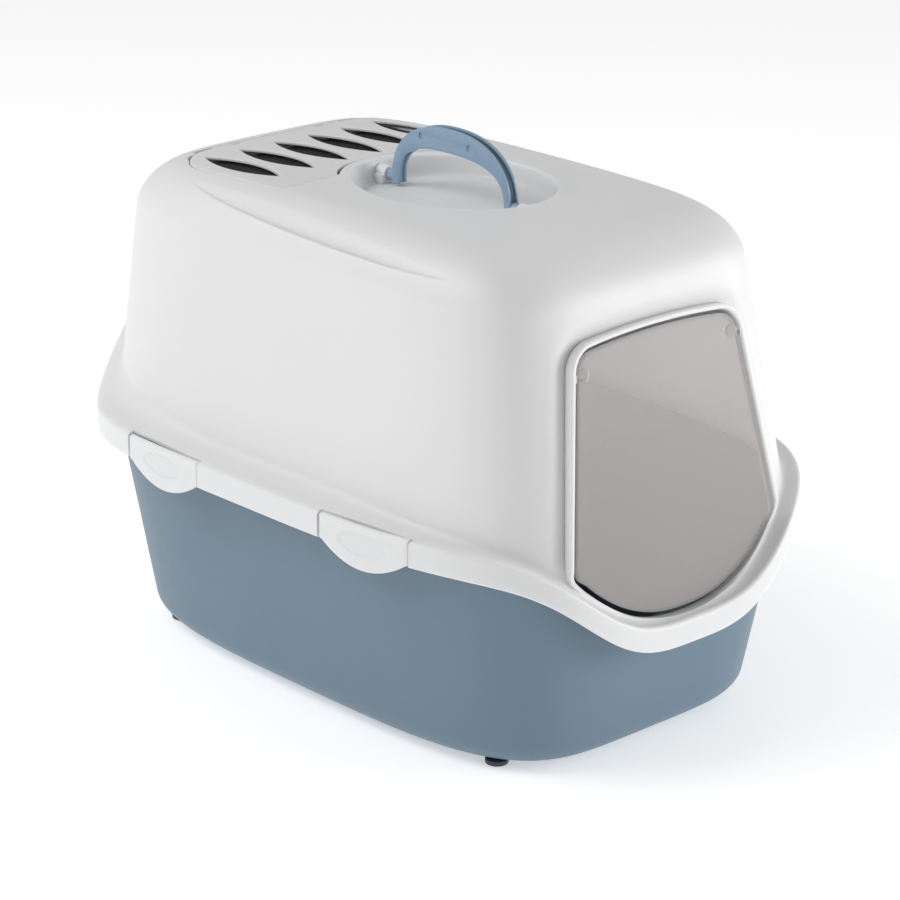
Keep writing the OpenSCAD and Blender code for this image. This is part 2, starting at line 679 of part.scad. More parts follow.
base_tray();
foot(-117, -187);  // foot_front_left
foot(117, -187);  // foot_front_right
foot(-117, 195);  // foot_rear_left
foot(117, 195);  // foot_rear_right
hood_shell();
door_flap();
flap_socket(-1);  // flap_socket_left
flap_socket(1);  // flap_socket_right
carry_handle();
handle_bearing(-1);  // handle_bearing_front
handle_bearing(1);  // handle_bearing_rear
vent_cover();
vent_hinge_pin();
filter_basket();
charcoal_filter();
latch(-1, latch_front_y);  // latch_front_left
latch(1, latch_front_y);  // latch_front_right
latch(-1, latch_rear_y);  // latch_rear_left
latch(1, latch_rear_y);  // latch_rear_right
latch_axle(-1, latch_front_y);  // latch_axle_front_left
latch_axle(1, latch_front_y);  // latch_axle_front_right
latch_axle(-1, latch_rear_y);  // latch_axle_rear_left
latch_axle(1, latch_rear_y);  // latch_axle_rear_right
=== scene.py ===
"""Looks of the hooded cat litter box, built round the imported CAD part.

Surfaces are worked out in millimetres in the part's own frame (door toward -Y, +Z up)
and turned into metres when a mesh is made.
"""

import math

import bmesh
import bpy
import numpy as np
from mathutils import Matrix, Vector


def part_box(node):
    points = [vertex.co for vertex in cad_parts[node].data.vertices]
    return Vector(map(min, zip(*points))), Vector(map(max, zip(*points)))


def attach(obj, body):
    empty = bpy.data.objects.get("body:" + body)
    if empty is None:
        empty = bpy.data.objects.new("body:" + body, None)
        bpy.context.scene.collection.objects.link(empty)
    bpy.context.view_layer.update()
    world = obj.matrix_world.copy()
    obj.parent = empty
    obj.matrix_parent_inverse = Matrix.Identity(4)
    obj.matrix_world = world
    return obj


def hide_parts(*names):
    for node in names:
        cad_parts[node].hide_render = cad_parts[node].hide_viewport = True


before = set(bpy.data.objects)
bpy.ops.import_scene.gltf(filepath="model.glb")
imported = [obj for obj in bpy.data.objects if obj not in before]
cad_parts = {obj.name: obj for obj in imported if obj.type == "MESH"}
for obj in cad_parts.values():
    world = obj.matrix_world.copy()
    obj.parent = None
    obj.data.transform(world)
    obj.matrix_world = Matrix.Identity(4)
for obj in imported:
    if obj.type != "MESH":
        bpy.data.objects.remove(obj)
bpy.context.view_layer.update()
MM = 0.001

# ---- sizes, in millimetres ----


def cad_mm(node):
    """Lowest and highest corner of a CAD node, in millimetres."""
    low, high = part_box(node)
    return np.array(low) / MM, np.array(high) / MM


HALF_W, HALF_L = cad_mm("hood_shell")[1][:2]
FOOT_H = cad_mm("base_tray")[0][2]
ROOF = 397.0
WALL = 3.0
SKIRT_Z = 172.0
SKIRT_H = 20.5
FLANGE_Z = SKIRT_Z + SKIRT_H
COVE_H = 12.0
HEM_R = 1.4
SKIRT_FRONT_POWERS, SKIRT_REAR_POWERS = (3.7, 3.2), (2.5, 5.8)
FRONT_DIP, DIP_HALF_W = 77.0, 121.0
REAR_RISE, RISE_HALF_W = 80.0, 136.0
WAVE_START, WAVE_RUN = 60.0, 100.0
RIM_INSET = 9.0
RIM_GAP = 1.8
RIM_T, RIM_ROUND = 2.6, 0.6
TRAY_CORNER = 18.0
TRAY_A = (152.5, 177.5)
TRAY_B = (242.5, 261.5)
TRAY_POWERS_X = (4.7, 4.6)
TRAY_POWERS_Y = (3.45, 4.5)
TRAY_FRONT_POWER = 5.0
TRAY_Y = 4.0
CROWN = 0.00009
EDGE_R = 38.0
BODY_Z = 190.0
BODY_A = (173.0, 142.0)
BODY_B = (259.0, 230.0)
BODY_Y = (4.0, 15.0)
BODY_E = ((5.2, 4.3), (6.0, 6.0))
DISH_Y = -12.0
DISH_A = 71.0
DISH_B = 87.0
DISH_DEPTH = 17.0
PIVOT_Z = ROOF - 9.5
DETAIL = 1.0
QUARTER = int(128 * DETAIL)


# ---- outlines and surfaces, the same formulas as the CAD part ----


def signed_pow(v, e):
    return np.sign(v) * np.abs(v) ** e


def mix(p, q, k):
    return p * (1 - k) + q * k


def ease(v):
    k = np.clip(v, 0, 1)
    return k * k * (3 - 2 * k)


def crowded_angles(quarter):
    """Angles round an outline, crowded toward the axes, where a squared oval turns slowly."""
    s = np.arange(quarter) / quarter
    p, q = s**2.2, (1 - s) ** 2.2
    return np.radians(np.concatenate([90 * n + 90 * p / (p + q) for n in range(4)]))


ANGLES = crowded_angles(QUARTER)
COUNT = len(ANGLES)


def oval(a, b, ex, ey, yc, t=ANGLES):
    return a * signed_pow(np.cos(t), 2 / ex), yc + b * signed_pow(np.sin(t), 2 / ey)


def skirt_powers(front):
    """The two powers of the skirt's squared oval, which differ in front and behind."""
    return [np.where(front, a, b) for a, b in zip(SKIRT_FRONT_POWERS, SKIRT_REAR_POWERS)]


def skirt_xy(inset, t=ANGLES):
    ex, ey = skirt_powers(np.sin(t) < 0)
    return oval(HALF_W - inset, HALF_L - inset, ex, ey, 0, t)


def skirt_x(y):
    """Distance of the skirt's outline from the middle plane at y."""
    ex, ey = skirt_powers(y < 0)
    return HALF_W * (1 - (np.abs(y) / HALF_L) ** ey) ** (1 / ex)


def wave(x, y):
    """The skirt line dips under the door and climbs at the back."""
    climb = REAR_RISE * np.exp(-((np.abs(x) / RISE_HALF_W) ** 4)) * ease((y - WAVE_START) / WAVE_RUN)
    dip = FRONT_DIP * np.exp(-((np.abs(x) / DIP_HALF_W) ** 3.3)) * ease((-y - WAVE_START) / WAVE_RUN)
    return climb - dip


def skirt_ring(inset, z, t=ANGLES):
    x, y = skirt_xy(inset, t)
    return np.stack([x, y, z + wave(x, y)], 1)


def tray_xy(z, inset, t=ANGLES):
    k = (z - FOOT_H) / (SKIRT_Z - FOOT_H)
    c = np.clip(k, 0, 1)
    top_power = np.where(np.sin(t) < 0, TRAY_FRONT_POWER, TRAY_POWERS_Y[1])
    return oval(
        mix(*TRAY_A, k) - inset,
        mix(*TRAY_B, k) - inset,
        mix(*TRAY_POWERS_X, c),
        mix(TRAY_POWERS_Y[0], top_power, c),
        TRAY_Y * (1 - k),
        t,
    )


def hood_xy(z, inset, t=ANGLES):
    k = (z - BODY_Z) / (ROOF - BODY_Z)
    c = np.clip(k, 0, 1)
    return oval(
        mix(*BODY_A, k) - inset,
        mix(*BODY_B, k) - inset,
        mix(BODY_E[0][0], BODY_E[1][0], c),
        mix(BODY_E[0][1], BODY_E[1][1], c),
        mix(*BODY_Y, k),
        t,
    )


def edge_on(surface, z, inset):
    """Ring on a wall surface whose height follows the skirt line, found in a few steps."""
    zz = z + 0 * ANGLES
    for _ in range(4):
        x, y = surface(zz, inset)
        zz = z + wave(x, y)
    return np.stack([x, y, zz], 1)


def fall(x, y):
    return CROWN * (x * x + y * y)


def roof_inset(x, y):
    """How far a roof point lies in from the hood's outline, by halving the interval."""
    low, high = np.zeros(np.shape(x)), np.full(np.shape(x), 90.0)
    for _ in range(24):
        i = (low + high) / 2
        s = (np.abs(x) / (BODY_A[1] - i)) ** 6 + (np.abs(y - BODY_Y[1]) / (BODY_B[1] - i)) ** 6
        low, high = np.where(s > 1, low, i), np.where(s > 1, i, high)
    return low


def roof_z(x, y):
    c = 1 - np.minimum(EDGE_R, roof_inset(x, y)) / EDGE_R
    return ROOF - EDGE_R + EDGE_R * np.sqrt(1 - c * c) - fall(x, y)


# ---- mesh helpers ----


def make(name, points, faces, sharp=35.0):
    """Mesh object from points in millimetres, wound outward, smooth up to a crease angle in degrees."""
    mesh = bpy.data.meshes.new(name)
    mesh.from_pydata((np.asarray(points) * MM).tolist(), [], faces)
    bm = bmesh.new()
    bm.from_mesh(mesh)
    bmesh.ops.remove_doubles(bm, verts=bm.verts, dist=1e-7)
    if bm.calc_volume(signed=True) < 0:
        bmesh.ops.reverse_faces(bm, faces=bm.faces)
    bm.to_mesh(mesh)
    bm.free()
    obj = bpy.data.objects.new(name, mesh)
    bpy.context.scene.collection.objects.link(obj)
    smooth(obj, sharp)
    return obj


def smooth(obj, sharp=35.0):
    obj.data.polygons.foreach_set("use_smooth", [True] * len(obj.data.polygons))
    obj.data.set_sharp_from_angle(angle=math.radians(sharp))


def bake(obj):
    """Replaces an object's mesh with what its modifiers make of it."""
    graph = bpy.context.evaluated_depsgraph_get()
    mesh = bpy.data.meshes.new_from_object(obj.evaluated_get(graph))
    obj.modifiers.clear()
    old = obj.data
    obj.data = mesh
    bpy.data.meshes.remove(old)
    return obj


def combine(obj, tools, operation):
    """Adds or cuts the tools from obj, then deletes them."""
    for tool in tools:
        step = obj.modifiers.new(operation.lower(), "BOOLEAN")
        step.operation = operation
        step.object = tool
        step.solver = "MANIFOLD"
    bake(obj)
    for tool in tools:
        bpy.data.objects.remove(tool)
    return obj


def bevel(obj, width, segments, angle):
    """Rounds the edges sharper than an angle in degrees, to a width in millimetres."""
    step = obj.modifiers.new("bevel", "BEVEL")
    step.width = width * MM
    step.segments = segments
    step.limit_method = "ANGLE"
    step.angle_limit = math.radians(angle)
    step.harden_normals = False
    bake(obj)
    smooth(obj, 50)
    return obj


def skin(name, rings, first, last, sharp=35.0):
    """Closed skin through rings of equal count, with a point at each end."""
    n, m = len(rings[0]), len(rings)
    points = np.concatenate(list(rings) + [np.array([first, last])])
    faces = []
    for j in range(m - 1):
        for i in range(n):
            a, b = j * n + i, j * n + (i + 1) % n
            faces.append((a, b, b + n, a + n))
    for i in range(n):
        faces.append((m * n, (i + 1) % n, i))
        faces.append((m * n + 1, (m - 1) * n + i, (m - 1) * n + (i + 1) % n))
    return make(name, points, faces, sharp)


def tube(name, rings, sharp=35.0):
    """Closed skin through rings that come round to the first again."""
    n, m = len(rings[0]), len(rings)
    faces = []
    for j in range(m):
        for i in range(n):
            a, b = j * n + i, j * n + (i + 1) % n
            c, d = ((j + 1) % m) * n + (i + 1) % n, ((j + 1) % m) * n + i
            faces.append((a, b, c, d))
    return make(name, np.concatenate(rings), faces, sharp)


def prism(name, layers, sharp=35.0):
    """Solid between flat-capped layers, each the same outline moved to its own place."""
    n, m = len(layers[0]), len(layers)
    faces = [tuple(range(n)), tuple(range((m - 1) * n, m * n))[::-1]]
    for j in range(m - 1):
        for i in range(n):
            a, b = j * n + i, j * n + (i + 1) % n
            faces.append((b, a, a + n, b + n))
    return make(name, np.concatenate(layers), faces, sharp)


def flat(outline, z):
    outline = np.asarray(outline, float)
    return np.column_stack([outline, np.full(len(outline), z) if np.isscalar(z) else z])


def moved(points, matrix):
    points = np.asarray(points)
    return points @ np.array(matrix.to_3x3()).T + np.array(matrix.translation)


def corner_arc(a, b, c, r, n):
    u, v = (a - b) / np.linalg.norm(a - b), (c - b) / np.linalg.norm(c - b)
    half = math.acos(float(np.clip(u @ v, -1, 1))) / 2
    middle = b + (u + v) / np.linalg.norm(u + v) * r / math.sin(half)
    s, e = b + u * r / math.tan(half) - middle, b + v * r / math.tan(half) - middle
    a0 = math.atan2(s[1], s[0])
    turn = (math.atan2(e[1], e[0]) - a0 + 3 * math.pi) % (2 * math.pi) - math.pi
    steps = a0 + turn * np.arange(n + 1) / n
    return middle + r * np.stack([np.cos(steps), np.sin(steps)], 1)


def rounded(corners, n=10):
    """Outline through [x, y, radius] corners."""
    out = []
    for i, (x, y, r) in enumerate(corners):
        if r == 0:
            out.append(np.array([[x, y]]))
            continue
        before, after = corners[i - 1], corners[(i + 1) % len(corners)]
        out.append(corner_arc(np.array(before[:2]), np.array([x, y]), np.array(after[:2]), r, n))
    return np.concatenate(out)


def lens(half_l, half_w, n=24):
    """Pointed lens along y."""
    r = (half_l**2 + half_w**2) / (2 * half_w)
    a = math.asin(half_l / r) * np.arange(-n, n) / n
    side = np.stack([r * np.cos(a) - r + half_w, r * np.sin(a)], 1)
    return np.concatenate([side, -side])


def rod(name, start, end, r, n=48):
    """Closed cylinder between two points."""
    start, end = np.array(start, float), np.array(end, float)
    along = (end - start) / np.linalg.norm(end - start)
    side = np.cross(along, [0.3, 0.5, 0.81])
    side /= np.linalg.norm(side)
    up = np.cross(along, side)
    t = 2 * math.pi * np.arange(n) / n
    ring = r * (np.outer(np.cos(t), side) + np.outer(np.sin(t), up))
    return prism(name, [start + ring, end + ring])


def block(name, low, high, matrix=None):
    x1, y1, z1 = low
    x2, y2, z2 = high
    base = [[x1, y1], [x2, y1], [x2, y2], [x1, y2]]
    layers = [flat(base, z1), flat(base, z2)]
    if matrix is not None:
        layers = [moved(layer, matrix) for layer in layers]
    return prism(name, layers)


# ---- materials ----


def node_material(name, color, roughness, **constants):
    """Principled material whose steady values sit on the shader's own sockets."""
    material = bpy.data.materials.new(name)
    material.use_nodes = True
    shader = material.node_tree.nodes["Principled BSDF"]
    shader.inputs["Base Color"].default_value = (*color, 1)
    shader.inputs["Roughness"].default_value = roughness
    for socket, value in constants.items():
        shader.inputs[socket.replace("_", " ")].default_value = value
    return material, material.node_tree, shader


def noise(tree, scale, detail):
    """Noise over the object's own coordinates, 0 to 1."""
    coords = tree.nodes.new("ShaderNodeTexCoord")
    tex = tree.nodes.new("ShaderNodeTexNoise")
    tex.inputs["Scale"].default_value = scale
    tex.inputs["Detail"].default_value = detail
    tree.links.new(coords.outputs["Object"], tex.inputs["Vector"])
    return tex.outputs["Fac"]


def spread(tree, source, low, high):
    """Maps a 0 to 1 value onto a range."""
    node = tree.nodes.new("ShaderNodeMapRange")
    node.inputs["To Min"].default_value = low
    node.inputs["To Max"].default_value = high
    tree.links.new(source, node.inputs["Value"])
    return node.outputs["Result"]


def ramp(tree, source, dark, light):
    """Mixes two colours by a 0 to 1 value."""
    node = tree.nodes.new("ShaderNodeMix")
    node.data_type = "RGBA"
    node.inputs[6].default_value = (*dark, 1)
    node.inputs[7].default_value = (*light, 1)
    tree.links.new(source, node.inputs["Factor"])
    return node.outputs[2]


def bump(tree, shader, layers):
    """Chains bumps given as (height output, strength, distance in metres)."""
    last = None
    for height, strength, distance in layers:
        node = tree.nodes.new("ShaderNodeBump")
        node.inputs["Strength"].default_value = strength
        node.inputs["Distance"].default_value = distance
        tree.links.new(height, node.inputs["Height"])
        if last is not None:
            tree.links.new(last, node.inputs["Normal"])
        last = node.outputs["Normal"]
    tree.links.new(last, shader.inputs["Normal"])


def moulded(name, color, roughness, grain=2600.0, strength=0.12, vary=0.03, **constants):
    """Satin moulded plastic: fine spark-eroded grain, faint flow marks and uneven sheen."""
    steady = {"IOR": 1.49, "Specular_IOR_Level": 0.45, **constants}
    material, tree, shader = node_material(name, color, roughness, **steady)
    drift = noise(tree, 9.0, 2.0)
    dark = tuple(c * (1 - vary) for c in color)
    light = tuple(min(1.0, c * (1 + vary)) for c in color)
    tree.links.new(ramp(tree, drift, dark, light), shader.inputs["Base Color"])
    sheen = spread(tree, noise(tree, 60.0, 4.0), roughness - 0.06, roughness + 0.06)
    tree.links.new(sheen, shader.inputs["Roughness"])
    bump(
        tree,
        shader,
        [(noise(tree, grain, 2.0), strength, 0.00012), (noise(tree, 22.0, 2.0), 0.06, 0.0006)],
    )
    return material


MILKY = {"Subsurface_Weight": 0.5, "Subsurface_Radius": (1.0, 1.0, 1.0), "Subsurface_Scale": 0.007}
WHITE = moulded("hood_white", (0.77, 0.77, 0.775), 0.42, strength=0.10, vary=0.012, **MILKY)
BLUE = moulded("tray_blue", (0.140, 0.210, 0.272), 0.46, strength=0.14, vary=0.03)
POWDER = moulded("handle_blue", (0.27, 0.385, 0.52), 0.38, strength=0.10, vary=0.03)
LILAC = moulded("basket_lilac", (0.62, 0.63, 0.68), 0.45, strength=0.12, vary=0.04)
# dark teal for the strip in the handle's channel: painted shade for the channel's shadow
CHANNEL_SHADE = moulded("channel_shade_teal", (0.055, 0.10, 0.12), 0.6, strength=0.12, vary=0.05)
NAVY = moulded("foot_navy", (0.055, 0.068, 0.10), 0.62, grain=900.0, strength=0.25, vary=0.15)


def smoke_sheet():
    """Translucent smoke-grey sheet, slightly frosted."""
    color = (0.78, 0.74, 0.73)
    material, tree, shader = node_material("flap_smoke", color, 0.22, IOR=1.45, Alpha=0.27)
    tree.links.new(spread(tree, noise(tree, 14.0, 3.0), 0.16, 0.28), shader.inputs["Roughness"])
    tree.links.new(
        ramp(tree, noise(tree, 5.0, 2.0), (0.75, 0.71, 0.70), (0.80, 0.76, 0.75)), shader.inputs["Base Color"]
    )
    bump(tree, shader, [(noise(tree, 30.0, 2.0), 0.03, 0.0002)])
    return material


def carbon_foam():
    """Open-celled black foam."""
    material, tree, shader = node_material("charcoal_foam", (0.012, 0.012, 0.010), 0.92)
    cells = tree.nodes.new("ShaderNodeTexVoronoi")
    cells.inputs["Scale"].default_value = 420.0
    coords = tree.nodes.new("ShaderNodeTexCoord")
    tree.links.new(coords.outputs["Object"], cells.inputs["Vector"])
    tree.links.new(
        ramp(tree, cells.outputs["Distance"], (0.003, 0.003, 0.002), (0.030, 0.029, 0.022)),
        shader.inputs["Base Color"],
    )
    bump(tree, shader, [(cells.outputs["Distance"], 0.8, 0.0012), (noise(tree, 150.0, 3.0), 0.5, 0.001)])
    return material


def wire_steel():
    material, tree, shader = node_material("pin_steel", (0.62, 0.62, 0.64), 0.3, Metallic=1.0)
    tree.links.new(spread(tree, noise(tree, 400.0, 3.0), 0.22, 0.4), shader.inputs["Roughness"])
    bump(tree, shader, [(noise(tree, 900.0, 2.0), 0.15, 0.0001)])
    return material


SMOKE = smoke_sheet()
FOAM = carbon_foam()
STEEL = wire_steel()


def place(obj, material, body, slot, *nodes):
    """Gives a piece its finish, its body and the CAD nodes it stands for."""
    obj.data.materials.clear()
    obj.data.materials.append(material)
    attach(obj, body)
    if nodes:
        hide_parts(*nodes)
    return obj


def refinish(material, *nodes):
    for node in nodes:
        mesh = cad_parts[node].data
        mesh.materials.clear()
        mesh.materials.append(material)


# ---- tray ----


def tray():
    """Tray as one skin: up the outside, over the rim and down the inside."""
    floor_z = FOOT_H
    rim = FLANGE_Z - WALL - RIM_GAP
    arc = np.radians(np.linspace(0, 90, 9))

    def low_ring(r, inset, base, phi):
        z = base + r * (1 - math.cos(phi))
        x, y = tray_xy(z, inset + r * (1 - math.sin(phi)))
        return np.stack([x, y, np.full(COUNT, z)], 1)

    def wall_ring(v, inset):
        top = edge_on(tray_xy, rim - RIM_T, inset)[:, 2]
        z = mix(floor_z + TRAY_CORNER, top, v)
        x, y = tray_xy(z, inset)
        return np.stack([x, y, z], 1)

    def shrunk(ring, k):
        out = ring.copy()
        out[:, 0] *= k
        out[:, 1] = TRAY_Y + (out[:, 1] - TRAY_Y) * k
        return out

    outer_floor = low_ring(TRAY_CORNER, 0, floor_z, 0)
    inner_floor = low_ring(TRAY_CORNER - WALL, WALL, floor_z + WALL, 0)
    lift = edge_on(tray_xy, rim - RIM_T, WALL)
    lift[:, 2] += RIM_T
    rings = [shrunk(outer_floor, k) for k in (0.4, 0.8)]
    rings += [low_ring(TRAY_CORNER, 0, floor_z, phi) for phi in arc]
    rings += [wall_ring(v, 0) for v in np.linspace(0.04, 1, 26)]
    rings += [skirt_ring(RIM_INSET, rim - RIM_T), skirt_ring(RIM_INSET, rim - RIM_ROUND)]
    rings += [skirt_ring(RIM_INSET + RIM_ROUND, rim)]
    rings += [lift]
    rings += [wall_ring(v, WALL) for v in np.linspace(0.97, 0.04, 20)]
    rings += [low_ring(TRAY_CORNER - WALL, WALL, floor_z + WALL, phi) for phi in arc[::-1]]
    rings += [shrunk(inner_floor, k) for k in (0.8, 0.4)]
    return skin("tray", rings, (0, TRAY_Y, floor_z), (0, TRAY_Y, floor_z + WALL), 40)


# ---- door frame: local x across, y inward, z up along the sloping front ----

DOOR = Matrix.Translation((0, -256.6, 165.7)) @ Matrix.Rotation(math.radians(-9.65), 4, "X")
DOOR_HALF, DOOR_TOP_HALF, DOOR_H = 108.5, 83.5, 163.0
DOOR_SAG, DOOR_BOW = 51.0, 5.0
FLAP_GAP = 2.2
SILL_GAP = 4.0
SILL_SLOPE = 6.0
FLAP_T = 2.6
FLAP_Y = -1.6
FLAP_AXIS_Z = 146.0
BOSS_X = DOOR_TOP_HALF - 5.5
PIN_END_X = DOOR_TOP_HALF + 6.2
BOSS_R, BOSS_HALF_T, FLAP_PIN_R = 5.0, 2.5, 2.0
LIP_W = 4.5
LIP_OUT = 3.6
GROOVE_DEPTH, GROOVE_W = 2.1, 15.0


def door_outline(out=0.0, sill=None, slope=0.0, n=24):
    """Opening outline moved outward by out, by sill along its lower edge, lower by slope at both sides."""
    sill = out if sill is None else sill
    hw, tw = DOOR_HALF + out, DOOR_TOP_HALF + out
    top = DOOR_H + out + 0.27 * min(0.0, out)
    s = 0.94 * np.arange(1 - n, n) / n
    low = -sill - slope * ease((np.abs(s) - 0.3) / 0.35) - DOOR_SAG * (1 - np.abs(s) ** 2.35)
    bottom = [(hw * k, z, 0) for k, z in zip(s, low)]
    crown = [(tw * k, top + DOOR_BOW * (1 - k * k), 0) for k in np.linspace(2, -2, 13) / 3]
    corners = [(-hw, 0, 12 + out)] + bottom + [(hw, 0, 12 + out), (tw, top, 20 + out)]
    return rounded(corners + crown + [(-tw, top, 20 + out)], 14)


def in_door(outline, y):
    """Outline in the door's plane, y inward of it, carried to the part's frame."""
    return moved(np.column_stack([outline[:, 0], y + 0 * outline[:, 0], outline[:, 1]]), DOOR)


def flap_layer(inset, y):
    return in_door(door_outline(-FLAP_GAP - inset, -SILL_GAP - inset), y)


def door_distance(points):
    """Distance of points outside the door's outline, negative inside, in the door's plane."""
    local = moved(points, DOOR.inverted())
    p = local[:, [0, 2]]
    outline = door_outline()
    a, b = outline, np.roll(outline, -1, 0)
    ab = b - a
    best = np.full(len(p), 1e9)
    inside = np.zeros(len(p), bool)
    for start, step, end in zip(a, ab, b):
        k = np.clip(((p - start) @ step) / max(step @ step, 1e-9), 0, 1)
        best = np.minimum(best, np.linalg.norm(p - start - np.outer(k, step), axis=1))
        crossing = (start[1] > p[:, 1]) != (end[1] > p[:, 1])
        with np.errstate(divide="ignore", invalid="ignore"):
            cut = start[0] + (p[:, 1] - start[1]) / (end[1] - start[1]) * step[0]
        inside ^= crossing & (p[:, 0] < cut)
    return np.where(inside, -best, best), local


def door_groove(points, normals):
    """Soft hollow in the front wall round the door's lip."""
    near = points[:, 1] < -180
    distance, local = door_distance(points[near])
    depth = GROOVE_DEPTH * (0.5 + 0.5 * np.cos(math.pi * np.clip((distance - LIP_W) / GROOVE_W, 0, 1)))
    depth *= ease((local[:, 2] + 2) / 26)
    points[near] -= normals[near] * depth[:, None]


# ---- hood ----


def dish_ring(inset, z):
    a = np.arange(COUNT) * 2 * math.pi / COUNT
    x, y = (DISH_A - inset) * np.cos(a), DISH_Y + (DISH_B - inset) * np.sin(a)
    return np.stack([x, y, z - fall(x, y) * ease((z - ROOF + DISH_DEPTH) / DISH_DEPTH)], 1)


def dish_profile():
    """Inset and depth from the roof over the rounded rim, down the wall and onto the floor."""
    rim_r, fillet_r, lean = 2.6, 4.5, math.radians(79)
    points = []
    for k in np.linspace(0, 1, 9):
        points.append((-3.2 + rim_r * math.sin(lean * k), rim_r * (1 - math.cos(lean * k))))
    fall_left = DISH_DEPTH - fillet_r * (1 - math.cos(lean)) - points[-1][1]
    start = points[-1]
    for k in np.linspace(0, 1, 5)[1:]:
        points.append((start[0] + k * fall_left / math.tan(lean), start[1] + k * fall_left))
    start = points[-1]
    for k in np.linspace(0, 1, 11)[1:]:
        phi = lean * (1 - k)
        dx = fillet_r * (math.sin(lean) - math.sin(phi))
        points.append((start[0] + dx, DISH_DEPTH - fillet_r * (1 - math.cos(phi))))
    return points


SCOOP_HALF_L, SCOOP_HALF_H, SCOOP_DEPTH = 152.0, 6.5, 2.3
SCOOP_Z, SCOOP_RISE = 380.5, 0.035


def shoulder_scoop(points, normals):
    """Long shallow lens in both roof shoulders, deepening downward to a crisp lower edge."""
    x, y, z = points.T
    span = np.clip(1 - (y / SCOOP_HALF_L) ** 2, 0, 1)
    half = SCOOP_HALF_H * span**0.7
    u = (SCOOP_Z + SCOOP_RISE * y + half - z) / np.maximum(2 * half, 1e-3)
    profile = np.clip(u / 0.86, 0, 1) * (1 - ease((u - 0.86) / 0.14))
    depth = SCOOP_DEPTH * span**0.6 * profile * (half > 0.2) * (np.abs(x) > 90)
    points -= normals * depth[:, None]


def ring_normals(rings):
    """Outward normals of a stack of rings by differences along and across."""
    grid = np.array(rings)
    along = np.roll(grid, -1, 1) - np.roll(grid, 1, 1)
    across = np.gradient(grid, axis=0)
    n = np.cross(along, across)
    n /= np.maximum(np.linalg.norm(n, axis=2, keepdims=True), 1e-9)
    return n


def edge_ring(r, inset, top, phi):
    z = top - r + r * math.sin(phi)
    x, y = hood_xy(z + inset, inset + r * (1 - math.cos(phi)))
    return np.stack([x, y, z - fall(x, y)], 1)


def side_ring(v, inset, base, top):
    z = mix(edge_on(hood_xy, base, inset)[:, 2], top, v)
    x, y = hood_xy(z + inset, inset)
    return np.stack([x, y, z - v * fall(x, y)], 1)


COVE_E = 2 / 2.2


def cove_ring(phi):
    """Ring on the flange's top, which sweeps up from the skirt into the hood's side."""
    k = math.sin(phi) ** COVE_E
    x, y = skirt_xy(3.5)
    wall = edge_on(hood_xy, FLANGE_Z + COVE_H, 0)
    x, y = mix(x, wall[:, 0], k), mix(y, wall[:, 1], k)
    return np.stack([x, y, FLANGE_Z + COVE_H * (1 - math.cos(phi) ** COVE_E) + wave(x, y)], 1)


def roof_rings(edge, rim_inset, drop, steps):
    """Rings over the roof between its rounded edge and the dish's rim."""
    rim = dish_ring(rim_inset, ROOF)
    out = []
    for k in np.linspace(0, 1, steps + 2)[1:-1]:
        xy = mix(edge[:, :2], rim[:, :2], k)
        out.append(np.column_stack([xy, ROOF - drop - fall(*xy.T)]))
    return out


def dish_floor(inset, z, keys):
    ring = dish_ring(inset, z)
    out = []
    for k in keys:
        step = ring.copy()
        step[:, 0] *= k
        step[:, 1] = DISH_Y + (step[:, 1] - DISH_Y) * k
        out.append(step)
    return out


def hood_outside():
    """Rings from the skirt's lower edge up over the roof and down into the dish."""
    rows = int(64 * DETAIL)
    r = 3.5
    crease = np.radians(np.linspace(0, 90, 7))
    inner_top = ROOF - EDGE_R
    rings = [skirt_ring(HEM_R * (1 - math.sin(p)), SKIRT_Z + HEM_R * (1 - math.cos(p))) for p in crease]
    rings += [skirt_ring(0, z) for z in np.linspace(SKIRT_Z + 3, FLANGE_Z - r, 6)[:-1]]
    rings += [skirt_ring(r * (1 - math.cos(p)), FLANGE_Z - r * (1 - math.sin(p))) for p in crease]
    rings += [cove_ring(p) for p in np.radians(np.linspace(0, 90, 15))[1:]]
    rings += [side_ring(v, 0, FLANGE_Z + COVE_H, inner_top) for v in np.linspace(0, 1, rows)[1:]]
    rings += [edge_ring(EDGE_R, 0, ROOF, p) for p in np.radians(np.linspace(0, 90, int(80 * DETAIL)))[1:]]
    rings += roof_rings(rings[-1], -3.2, 0, int(30 * DETAIL))
    rings += [dish_ring(i, ROOF - d) for i, d in dish_profile()]
    deepest = dish_profile()[-1][0]
    rings += dish_floor(deepest, ROOF - DISH_DEPTH, np.linspace(1, 0, 9)[1:-1])
    normals = ring_normals(rings)
    grid = np.array(rings)
    points = grid.reshape(-1, 3)
    flat_normals = normals.reshape(-1, 3)
    door_groove(points, flat_normals)
    shoulder_scoop(points, flat_normals)
    return list(points.reshape(grid.shape))


def hood_inside():
    """Rings from under the dish out and down to the skirt's lower edge."""
    inner_top = ROOF - EDGE_R
    bowl = [(-9.0, WALL), (-5.4, 5.5), (-3.0, 9.0), (-1.0, 16.0), (3.0, 19.0), (8.5, 20.0)]
    rings = dish_floor(8.5, ROOF - DISH_DEPTH - WALL, np.linspace(0, 1, 5)[1:-1])
    rings += [dish_ring(i, ROOF - d) for i, d in bowl[::-1]]
    top_edge = edge_ring(EDGE_R - WALL, WALL, ROOF - WALL, math.pi / 2)
    rings += roof_rings(top_edge, -9.0, WALL, 8)[::-1]
    rings += [edge_ring(EDGE_R - WALL, WALL, ROOF - WALL, p) for p in np.radians(np.linspace(90, 8, 14))]
    rings += [side_ring(v, WALL, FLANGE_Z + 4, inner_top) for v in np.linspace(1, 0, 24)]
    rings += [edge_on(hood_xy, FLANGE_Z - WALL, WALL)]
    rings += [skirt_ring(i, FLANGE_Z - WALL) for i in (14, 9, WALL)]
    rings += [skirt_ring(WALL, SKIRT_Z + 0.6), skirt_ring(WALL - 0.5, SKIRT_Z)]
    return rings


